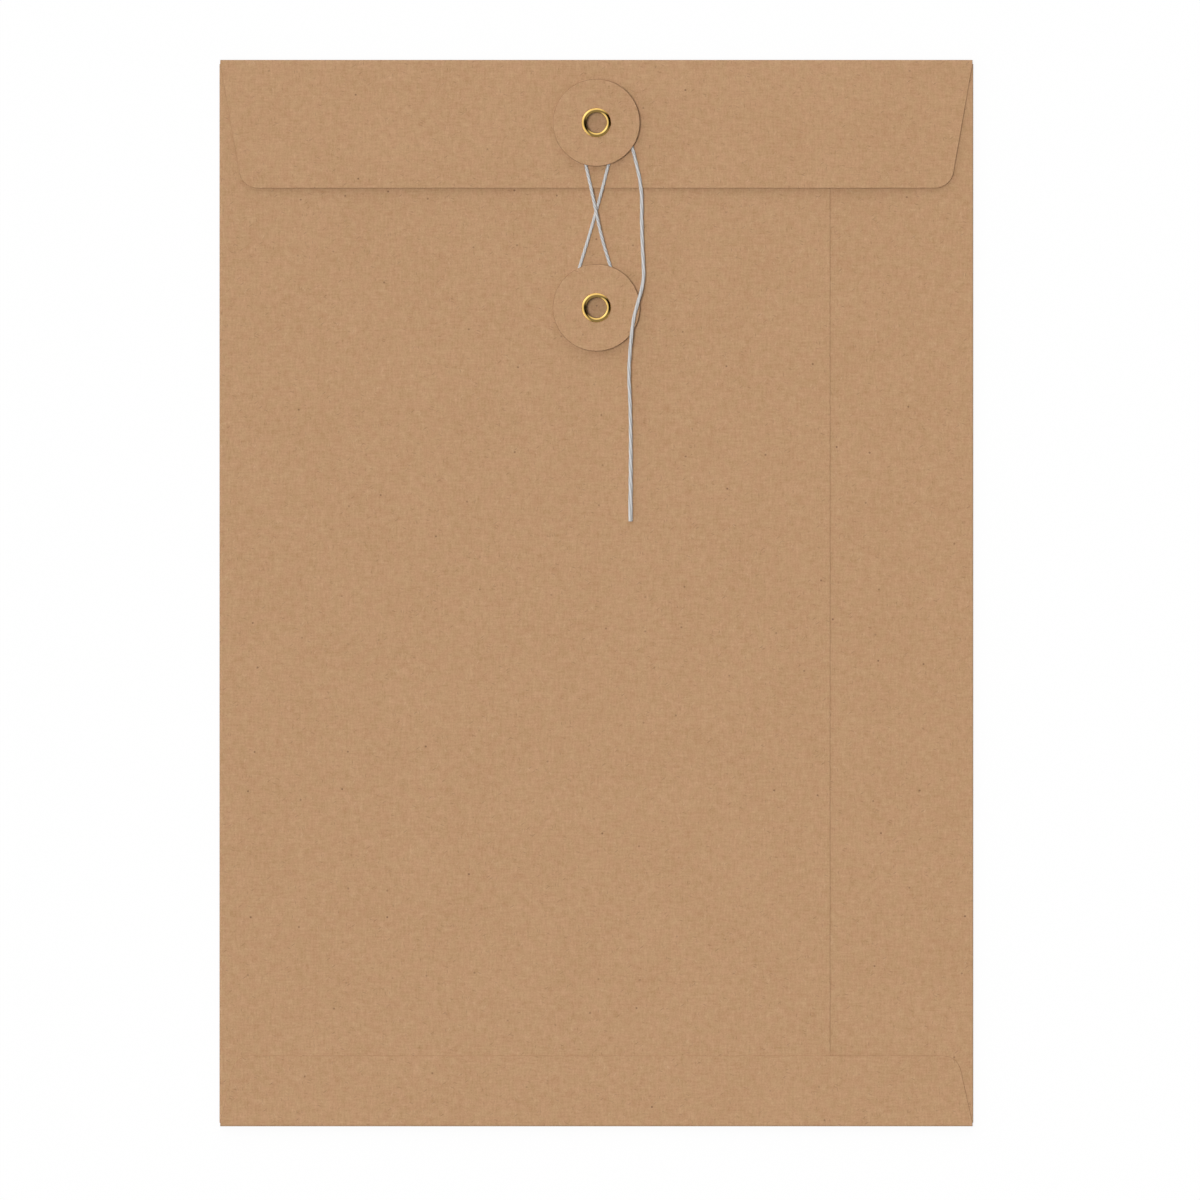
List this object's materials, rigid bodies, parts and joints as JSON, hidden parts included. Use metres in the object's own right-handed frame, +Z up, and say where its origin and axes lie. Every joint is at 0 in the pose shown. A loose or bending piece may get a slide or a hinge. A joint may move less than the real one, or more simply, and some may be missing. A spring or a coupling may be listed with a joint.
{
  "type": "string tie envelope",
  "caption": "Flat kraft paper pocket envelope with a hinged closing flap, card disc buttons on brass eyelets and a string wound between them to tie it shut.",
  "frame": {"origin": "middle of the envelope's footprint, on the underside of the front panel that it rests on", "axes": "+X to the right seen from the button side, +Y along the length towards the flap crease, +Z up out of the button side"},
  "size_m": [0.229, 0.324, 0.0049],
  "materials": {
    "kraft_paper": "matt brown kraft with fine fibres",
    "kraft_board": "matt brown kraft board, die cut",
    "brass": "bright rolled brass",
    "string": "pale grey twisted cotton",
    "gum": "dried adhesive film"
  },
  "bodies": {
    "pocket": {"front_panel": "kraft_paper", "wide_back_panel": "kraft_paper", "narrow_back_panel": "kraft_paper", "left_side_fold": "kraft_paper", "right_side_fold": "kraft_paper", "bottom_fold": "kraft_paper", "bottom_flap": "kraft_paper", "side_seam_gum": "gum", "bottom_gum": "gum", "flap_crease": "kraft_paper", "lower_patch": "kraft_paper", "lower_spacer": "kraft_board", "lower_eyelet": "brass"},
    "flap": {"closing_flap": "kraft_paper", "upper_patch": "kraft_paper", "upper_spacer": "kraft_board", "upper_eyelet": "brass", "string_tie": "string", "string_tail": "string"},
    "upper_disc": {"upper_disc": "kraft_board"},
    "lower_disc": {"lower_disc": "kraft_board"}
  },
  "joints": [
    {"name": "flap_hinge", "type": "hinge", "parent": "pocket", "child": "flap", "pos_m": [0, 0.16082, 0.00118], "axis": [-1, 0, 0], "range_deg": [0, 155], "deforming": ["flap_crease", "string_tie", "string_tail"]},
    {"name": "upper_disc_spin", "type": "hinge", "parent": "flap", "child": "upper_disc", "pos_m": [0, 0.1429, 0.00399], "axis": [0, 0, 1], "continuous": true},
    {"name": "lower_disc_spin", "type": "hinge", "parent": "pocket", "child": "lower_disc", "pos_m": [0, 0.0867, 0.00311], "axis": [0, 0, 1], "continuous": true}
  ]
}
